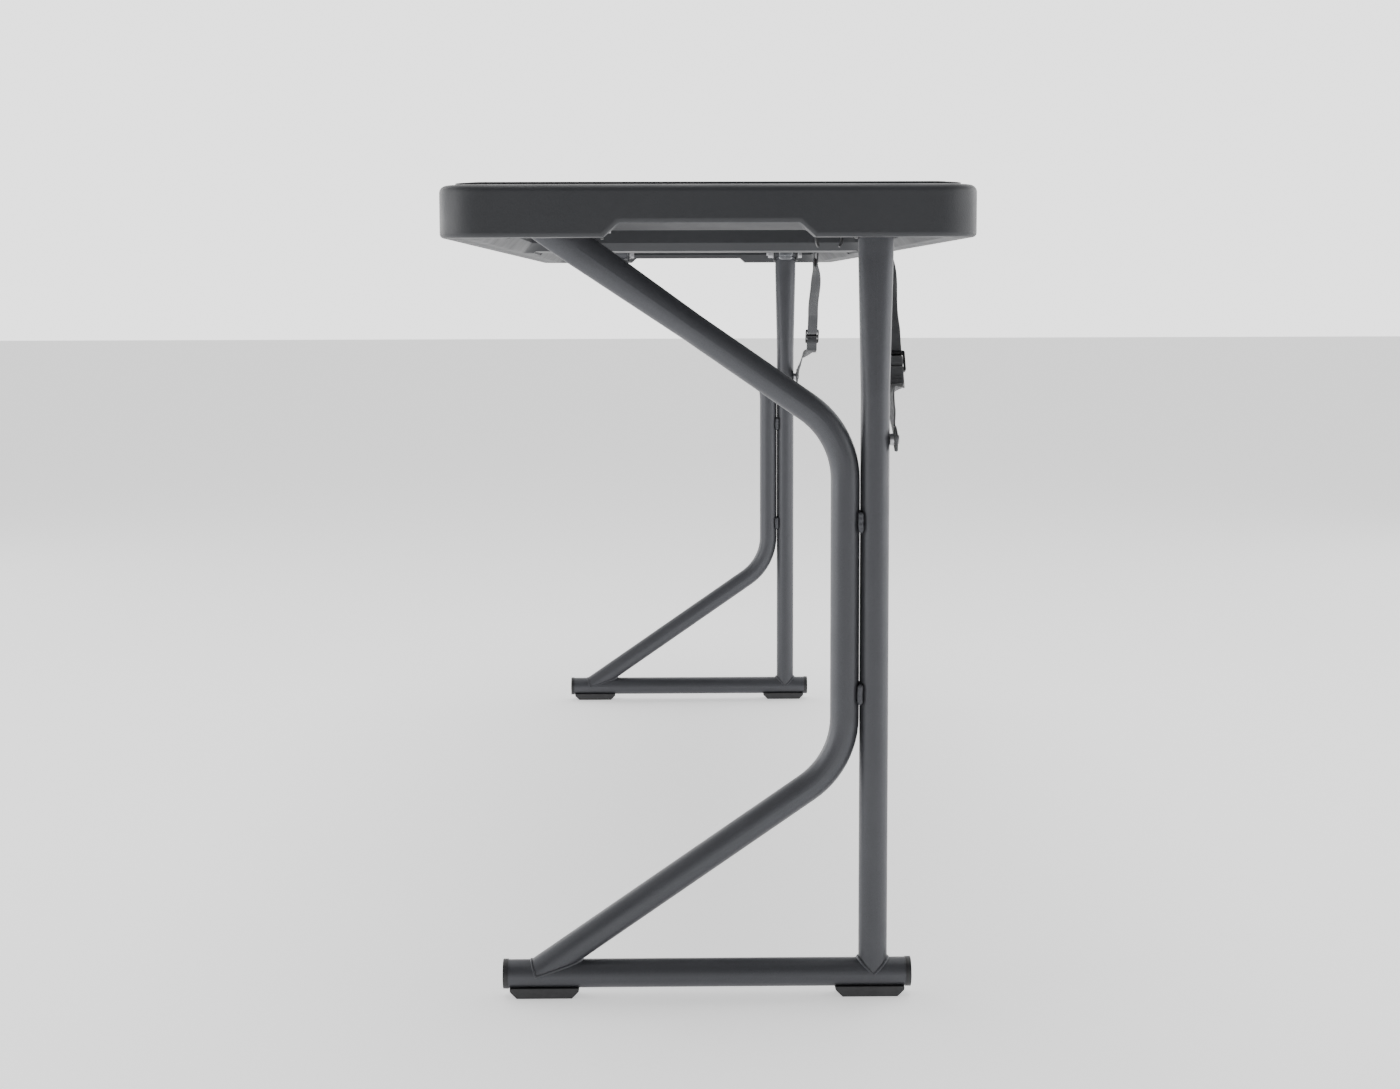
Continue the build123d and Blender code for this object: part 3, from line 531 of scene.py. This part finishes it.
def make_upper_strap(name):
    """Webbing sewn round the anchor's bar, twisted down to the slider and threaded through it."""
    side, bar, slider, _, _, down = strap_frame(name)
    across = Vector((0, 1, 0))
    inboard = Vector((side, 0, 0))
    face = down.cross(across).normalized()
    if face.x * side < 0:
        face = -face
    wrap = ANCHOR_BAR_RADIUS + 0.95 * MM
    path, breadths, cups = [], [], []

    def lay(points, breadth, cup=0.0):
        for point in points:
            path.append(point)
            breadths.append(breadth)
            cups.append(cup)

    lay([bar + Vector((0, wrap, -24 * MM)) + across * (-1.2 * MM)], inboard)
    lay([bar + Vector((0, wrap, -16 * MM)) + across * (-0.9 * MM)], inboard)
    lay([bar + Vector((0, wrap, -8 * MM)), bar + Vector((0, wrap, -3 * MM))], inboard)
    for step in range(9):
        angle = pi * step / 8
        lay([bar + Vector((0, wrap * cos(angle), wrap * sin(angle)))], inboard)
    lay([bar + Vector((0, -wrap, -3 * MM)), bar + Vector((0, -wrap, -8 * MM))], inboard)

    threaded = (
        (-40, -1.6), (-25, -3.0), (-14, -3.35), (-9.4, -3.2), (-6.8, -1.9), (-3.9, 1.9), (-1.7, 3.15),
        (1.7, 3.15), (3.9, 1.9), (6.0, -2.2), (8.4, -4.7), (12.5, -4.9), (17, -5.4), (22, -6.8),
    )
    into = [slider + down * (along * MM) + face * (out * MM) for along, out in threaded]
    start = bar + Vector((0, -wrap * 0.75, -14 * MM))
    goal = into[0]
    count = 34
    free, free_breadths, free_cups = [], [], []
    for step in range(count):
        share = step / count
        sag = sin(pi * share)
        point = start.lerp(goal, share)
        point += Vector((-side * 1.5 * MM, 1.8 * MM, -3.5 * MM)) * sag
        point += across * (1.3 * MM * sin(2 * pi * share))
        turn = min(1, max(0, (share - 0.04) / 0.42))
        turn = turn * turn * (3 - 2 * turn)
        angle = radians(20 + 66 * turn + 5 * sin(2.3 * pi * share))
        free.append(point)
        free_breadths.append(inboard * cos(angle) + across * sin(angle))
        free_cups.append(2.3 * MM * sin(pi * min(1, share * 1.1)) ** 2 * (1 if share < 0.55 else 0.7))
    path += free
    breadths += free_breadths
    cups += free_cups
    lay(smooth_run(into, 4), across)
    strap = ribbon_mesh("strap", path, breadths, cup=cups)
    near = bar + Vector((0, wrap + 0.75 * MM, 0))
    rows = []
    for height in (-11, -14, -17, -20):
        centre = near + Vector((0, -0.4 * MM, height * MM))
        half = inboard * (5.6 * MM)
        rows.append((centre - half, centre + half, Vector((0, 0, 1)), across))
    mesh = joined("strap", [strap, stitch_mesh(rows)])
    piece = add_piece(f"{name}_upper_webbing", mesh, "webbing", "top")
    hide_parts(f"{name}_upper_strap")
    squash_strap(piece)


def make_lower_strap(name):
    """Webbing sewn round the slider's lower bar, turned a quarter and run to the post."""
    side, _, slider, rivet, tab_run, down = strap_frame(name)
    across = Vector((0, 1, 0))
    face = down.cross(across).normalized()
    if face.x * side < 0:
        face = -face
    end_bar = slider + down * (SLIDER_LENGTH / 2 - SLIDER_BAR / 2)
    wrap = SLIDER_THICK / 2 + 0.9 * MM
    path, breadths, cups = [], [], []

    def lay(point, breadth, cup=0.0):
        path.append(point)
        breadths.append(breadth)
        cups.append(cup)

    for along in (22, 15, 9, 4):
        squeeze = 1.0 if along < 6 else 0.62
        lay(end_bar + down * (along * MM) + face * (wrap * squeeze), across)
    for step in range(9):
        angle = pi * step / 8
        lay(end_bar - down * (2.75 * MM * sin(angle)) + face * (wrap * cos(angle)), across)
    for along in (4, 9):
        squeeze = 1.0 if along < 6 else 0.35
        lay(end_bar + down * (along * MM) - face * (wrap * squeeze), across)
    bend = rivet - tab_run * (BEND_INBOARD / cos(TAB_SLOPE)) + Vector((0, 5.0 * MM, 0))
    tab_start = rivet - tab_run * TAB_REACH
    first = end_bar + down * (15 * MM)
    in_plane = Vector((tab_run.z, 0, -tab_run.x))
    controls = [
        path[-1],
        first,
        first.lerp(bend, 0.5) + Vector((0, 1.2 * MM, -3 * MM)),
        bend,
        bend.lerp(tab_start, 0.35) + Vector((0, -0.6 * MM, -1.8 * MM)),
        bend.lerp(tab_start, 0.7),
        tab_start,
    ]
    run = smooth_run(controls, 9)[1:]
    twist_end = 30
    for index, point in enumerate(run):
        turn = min(1, max(0, (index - 6) / (twist_end - 6)))
        turn = turn * turn * (3 - 2 * turn)
        settle = min(1, max(0, (index - 40) / 10))
        angle = turn * radians(78) + settle * radians(12)
        ending = min(1, max(0, (index - 44) / 9))
        breadth = across * cos(angle) - in_plane * (side * sin(angle))
        lay(point, breadth, 1.3 * MM * sin(pi * turn) * (1 - ending))
    strap = ribbon_mesh("strap", path, breadths, cup=cups)
    rows = []
    for along in (8, 11, 14, 17):
        centre = end_bar + down * (along * MM) + face * (wrap * (0.62 if along > 8 else 0.75) + 0.8 * MM)
        half = across * (5.6 * MM)
        rows.append((centre - half, centre + half, down, face))
    mesh = joined("strap", [strap, stitch_mesh(rows)])
    piece = add_piece(f"{name}_lower_webbing", mesh, "webbing", "top")
    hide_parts(f"{name}_lower_strap")
    squash_strap(piece)


def make_strap_end(name):
    """The strap's end, folded double and sewn, that the rivet holds beside the post."""
    _, _, _, rivet, tab_run, _ = strap_frame(name)
    in_plane = Vector((tab_run.z, 0, -tab_run.x))
    layer = 0.8 * MM
    start, end = 13.0 * MM, 9.6 * MM
    path = [rivet - tab_run * start + Vector((0, layer, 0))]
    for share in (0.25, 0.5, 0.75, 0.94):
        path.append(rivet + tab_run * (-start + (start + end) * share) + Vector((0, layer, 0)))
    for step in range(7):
        angle = pi * step / 6
        along = end - layer + layer * sin(angle)
        path.append(rivet + tab_run * along + Vector((0, layer * cos(angle), 0)))
    for share in (0.94, 0.75, 0.5, 0.25, 0):
        path.append(rivet + tab_run * (-start + (start + end) * share) - Vector((0, layer, 0)))
    strap = ribbon_mesh("strap", path, [in_plane] * len(path))
    rows = []
    outer = Vector((0, layer + WEBBING_THICK / 2, 0))
    for along in (-11, -8.5):
        centre = rivet + tab_run * (along * MM) + outer
        half = in_plane * (5.6 * MM)
        rows.append((centre - half, centre + half, tab_run, Vector((0, 1, 0))))
    for edge in (-5.4, 5.4):
        offset = in_plane * (edge * MM) + outer
        first, last = rivet - tab_run * (8 * MM) + offset, rivet + tab_run * (7 * MM) + offset
        rows.append((first, last, in_plane, Vector((0, 1, 0))))
    mesh = joined("strap", [strap, stitch_mesh(rows)])
    piece = add_piece(f"{name}_webbing_end", mesh, "webbing", f"{name}_leg")
    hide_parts(f"{name}_strap_tab")


def rounded_spline(curve, width, height, centre, radius):
    """Adds a closed outline with round corners to a flat curve."""
    points = []
    for sx, sy, turn in ((1, 1, 0), (-1, 1, 1), (-1, -1, 2), (1, -1, 3)):
        for step in range(5):
            angle = turn * pi / 2 + pi / 2 * step / 4
            x = sx * (width / 2 - radius) + radius * cos(angle)
            y = sy * (height / 2 - radius) + radius * sin(angle)
            points.append((centre[0] + x, centre[1] + y, 0, 1))
    spline = curve.splines.new("POLY")
    spline.points.add(len(points) - 1)
    for point, place in zip(spline.points, points):
        point.co = place
    spline.use_cyclic_u = True


def plate_mesh(name, outlines, thick, bevel):
    """A flat plate with holes and rounded edges, from its outlines."""
    curve = bpy.data.curves.new(name, "CURVE")
    curve.dimensions = "2D"
    curve.fill_mode = "BOTH"
    for outline in outlines:
        rounded_spline(curve, *outline)
    curve.extrude = thick / 2 - bevel
    curve.bevel_depth = bevel
    curve.bevel_resolution = 3
    curve.offset = -bevel
    holder = bpy.data.objects.new(name, curve)
    mesh = bpy.data.meshes.new_from_object(holder)
    bpy.data.objects.remove(holder)
    bpy.data.curves.remove(curve)
    return mesh


def make_slider(name):
    """The moulded slider: a flat frame with two slots and a ribbed middle bar."""
    _, _, slider, _, _, down = strap_frame(name)
    across = Vector((0, 1, 0))
    face = down.cross(across).normalized()
    slot_length = (SLIDER_LENGTH - 3 * SLIDER_BAR) / 2
    slot_width = SLIDER_WIDTH - 2 * SLIDER_SIDE
    offset = (slot_length + SLIDER_BAR) / 2
    outlines = [
        (SLIDER_WIDTH, SLIDER_LENGTH, (0, 0), 2.2 * MM),
        (slot_width, slot_length, (0, offset), 0.9 * MM),
        (slot_width, slot_length, (0, -offset), 0.9 * MM),
    ]
    mesh = plate_mesh(f"{name}_slider", outlines, SLIDER_THICK * 0.84, 0.7 * MM)
    turn = Matrix((across, down, across.cross(down))).transposed().to_4x4()
    mesh.transform(Matrix.Translation(slider) @ turn)
    ribs = []
    for row in range(-3, 4):
        for height in (1, -1):
            centre = slider + across * (row * 2.0 * MM) + face * (height * SLIDER_THICK * 0.38)
            path = [centre - down * (1.2 * MM), centre + down * (1.2 * MM)]
            ribs.append(tube_mesh("rib", path, [0.45 * MM] * 2, 8))
    slider_mesh = joined("slider", [mesh, *ribs])
    piece = add_piece(f"{name}_slider_frame", slider_mesh, "buckle_plastic", "top")
    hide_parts(f"{name}_strap_slider")
    squash_strap(piece)


# ---------------------------------------------------------------- latch leaf and leg clip

LEAF_THICK = 1.5 * MM
LEAF_ROOT = 26 * MM
LEAF_DROP = 20 * MM
CLIP_WALL = 2.4 * MM
CLIP_MOUTH = radians(58)
LIP_RADIUS = 1.3 * MM


def bent_strip_mesh(name, line, width, thick, centre_y, crown=0.0):
    """Sheet bent along a line in the XZ plane, with rounded long edges and ends drawn in."""
    bm = bmesh.new()
    columns = 14
    rings = []
    count = len(line)
    for index, point in enumerate(line):
        tangent = (line[min(index + 1, count - 1)] - line[max(index - 1, 0)]).normalized()
        normal = tangent.cross(Vector((0, 1, 0))).normalized()
        to_end = min((point - line[0]).length, (point - line[-1]).length)
        corner = 4 * MM
        pull = corner - sqrt(max(corner**2 - max(corner - to_end, 0) ** 2, 0)) if to_end < corner else 0
        half = width / 2 - pull
        ring = []
        for row in (1, -1):
            for column in range(columns + 1):
                share = (2 * column / columns - 1) * row
                edge = sqrt(max(1 - abs(share) ** 8, 0.0))
                out = row * thick / 2 * (0.35 + 0.65 * edge) + crown * (1 - share * share)
                across = Vector((0, centre_y + half * share - point.y, 0))
                ring.append(bm.verts.new(point + across + normal * out))
        rings.append(ring)
    for first, second in zip(rings, rings[1:]):
        size = len(first)
        for corner in range(size):
            after = (corner + 1) % size
            bm.faces.new((first[corner], first[after], second[after], second[corner]))
    bm.faces.new(rings[0])
    bm.faces.new(rings[-1])
    return mesh_of(bm, name)


def make_latch_leaf(name):
    """The sprung leaf: a flat root, a sloping strut and a lipped tip."""
    side = SIDES[name]
    low, high = (Vector(corner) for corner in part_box(f"{name}_latch_leaf"))
    root = low.x if side > 0 else high.x
    tip = (high.x if side > 0 else low.x) - side * LEAF_THICK / 2
    middle_z = high.z - LEAF_THICK / 2
    bend_x = root + side * LEAF_ROOT
    centre_y = (low.y + high.y) / 2
    corners = [
        Vector((root, 0, middle_z)),
        Vector((bend_x, 0, middle_z)),
        Vector((tip, 0, middle_z - LEAF_DROP)),
        Vector((tip, 0, low.z + 0.3 * MM)),
    ]
    line = []
    for start, end, count in zip(corners, corners[1:], (14, 20, 6)):
        line += [start.lerp(end, step / count) for step in range(count)]
    line.append(corners[-1])
    mesh = bent_strip_mesh(f"{name}_latch", line, high.y - low.y, LEAF_THICK, centre_y)
    piece = add_piece(f"{name}_latch_spring", mesh, "spring_steel", "top")
    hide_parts(f"{name}_latch_leaf")
    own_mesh(piece)


def make_leg_clip(name):
    """The moulded C-clip: even wall, rolled lips at the mouth and a flat foot on the panel."""
    low, high = (Vector(corner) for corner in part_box(f"{name}_leg_clip"))
    centre_y = (low.y + high.y) / 2
    centre_z = PIVOT[name].z
    outer = (high.y - low.y) / 2
    inner = outer - CLIP_WALL
    mouth = CLIP_MOUTH
    profile = []
    steps = 40
    for step in range(steps + 1):
        angle = -pi / 2 + mouth + (tau - 2 * mouth) * step / steps
        profile.append((outer * cos(angle), outer * sin(angle)))
    lip_angle = -pi / 2 - mouth
    lip = Vector((cos(lip_angle), sin(lip_angle))) * (inner + outer) / 2
    for step in range(7):
        angle = lip_angle + pi * step / 6
        profile.append((lip.x + LIP_RADIUS * cos(angle), lip.y + LIP_RADIUS * sin(angle)))
    for step in range(steps + 1):
        angle = -pi / 2 - mouth - (tau - 2 * mouth) * step / steps
        profile.append((inner * cos(angle), inner * sin(angle)))
    lip = Vector((-lip.x, lip.y))
    for step in range(7):
        turned = -pi / 2 + mouth + pi + pi * step / 6
        profile.append((lip.x + LIP_RADIUS * cos(turned), lip.y + LIP_RADIUS * sin(turned)))
    bm = bmesh.new()
    sections = []
    half = (high.x - low.x) / 2
    middle_x = (low.x + high.x) / 2
    for along, shrink in ((-1, 0.5), (-0.95, 0.0), (0.95, 0.0), (1, 0.5)):
        ring = []
        for y, z in profile:
            radius = sqrt(y * y + z * z)
            middle = (inner + outer) / 2
            scale = (radius + (middle - radius) * shrink * 0.5) / radius
            ring.append(bm.verts.new((middle_x + half * along, centre_y + y * scale, centre_z + z * scale)))
        sections.append(ring)
    for first, second in zip(sections, sections[1:]):
        size = len(first)
        for corner in range(size):
            after = (corner + 1) % size
            bm.faces.new((first[corner], first[after], second[after], second[corner]))
    bm.faces.new(sections[0])
    bm.faces.new(sections[-1])
    ring_mesh = mesh_of(bm, "clip")
    foot_outline = (high.x - low.x, 26 * MM, (0, 0), 3 * MM)
    foot = plate_mesh("foot", [foot_outline], high.z - (centre_z + inner), 0.5 * MM)
    foot.transform(Matrix.Translation((middle_x, centre_y, (high.z + centre_z + inner) / 2)))
    piece = add_piece(f"{name}_clip_body", joined("clip", [ring_mesh, foot]), "black_plastic", "top")
    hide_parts(f"{name}_leg_clip")


# ---------------------------------------------------------------- run

dress_frame()
for side_name in SIDES:
    make_welds(side_name)
    make_column_welds(side_name)
    make_upper_strap(side_name)
    make_lower_strap(side_name)
    make_strap_end(side_name)
    make_slider(side_name)
    make_latch_leaf(side_name)
    make_leg_clip(side_name)

# ---------------------------------------------------------------- camera, floor and light

PHOTO_WIDTH, PHOTO_HEIGHT = 1400, 1089
SENSOR = 36.0
CAMERA_PLACE = Vector((2.9453, -0.0382, 0.6489))
CAMERA_YAW, CAMERA_PITCH, CAMERA_ROLL = -0.0145, 0.1065, -0.0029
CAMERA_LENS = 60.86


def make_camera():
    """The photograph's view along the table, slightly downwards."""
    data = bpy.data.cameras.new("camera")
    data.sensor_width = SENSOR
    data.lens = CAMERA_LENS
    data.clip_end = 60
    camera = bpy.data.objects.new("camera", data)
    bpy.context.scene.collection.objects.link(camera)
    look = Vector(
        (
            -cos(CAMERA_YAW) * cos(CAMERA_PITCH),
            -sin(CAMERA_YAW) * cos(CAMERA_PITCH),
            -sin(CAMERA_PITCH),
        )
    )
    right = look.cross(Vector((0, 0, 1))).normalized()
    up = right.cross(look)
    rolled_right = right * cos(CAMERA_ROLL) + up * sin(CAMERA_ROLL)
    rolled_up = up * cos(CAMERA_ROLL) - right * sin(CAMERA_ROLL)
    turn = Matrix((rolled_right, rolled_up, -look)).transposed().to_4x4()
    camera.matrix_world = Matrix.Translation(CAMERA_PLACE) @ turn
    bpy.context.scene.camera = camera


def make_floor():
    """A plain pale floor with a faint even glow, the same from everywhere."""
    bm = bmesh.new()
    bmesh.ops.create_grid(bm, x_segments=2, y_segments=2, size=30)
    mesh = bpy.data.meshes.new("floor")
    bm.to_mesh(mesh)
    bm.free()
    floor = bpy.data.objects.new("floor", mesh)
    floor.location.z = -0.0002
    bpy.context.scene.collection.objects.link(floor)
    material, _, _, shader, _ = new_material("floor", (0.88, 0.88, 0.88), 0.9)
    shader.inputs["Emission Color"].default_value = (1, 1, 1, 1)
    shader.inputs["Emission Strength"].default_value = 0.6
    mesh.materials.append(material)


def area_light(name, place, aim, size, power):
    """A soft box at a place, facing a point."""
    data = bpy.data.lights.new(name, "AREA")
    data.shape = "RECTANGLE"
    data.size, data.size_y = size
    data.energy = power
    light = bpy.data.objects.new(name, data)
    bpy.context.scene.collection.objects.link(light)
    place = Vector(place)
    direction = Vector(aim) - place
    light.matrix_world = Matrix.Translation(place) @ direction.to_track_quat("-Z", "Y").to_matrix().to_4x4()
    return light


def make_light():
    """A pale backdrop behind the table, dimmer surroundings in front and a soft box on each side."""
    world = bpy.data.worlds.new("studio")
    bpy.context.scene.world = world
    world.use_nodes = True
    nodes, links = world.node_tree.nodes, world.node_tree.links
    background = nodes["Background"]
    background.inputs["Color"].default_value = (1, 1, 1, 1)
    split = nodes.new("ShaderNodeSeparateXYZ")
    links.new(nodes.new("ShaderNodeTexCoord").outputs["Generated"], split.inputs["Vector"])
    links.new(remap(nodes, links, split.outputs["X"], -0.93, 0.1, 2.4, 0.22), background.inputs["Strength"])
    area_light("left_box", (1.1, -3.0, 1.0), (0.7, 0, 0.5), (2.2, 1.8), 42)
    area_light("right_box", (1.1, 3.0, 1.0), (0.7, 0, 0.5), (2.2, 1.8), 34)
    area_light("back_left_box", (-2.0, -3.0, 1.0), (-0.7, 0, 0.5), (2.2, 1.8), 28)
    area_light("back_right_box", (-2.0, 3.0, 1.0), (-0.7, 0, 0.5), (2.2, 1.8), 28)
    area_light("top_box", (0, 0, 3.2), (0, 0, 0.7), (3.0, 2.0), 50)


make_camera()
make_floor()
make_light()
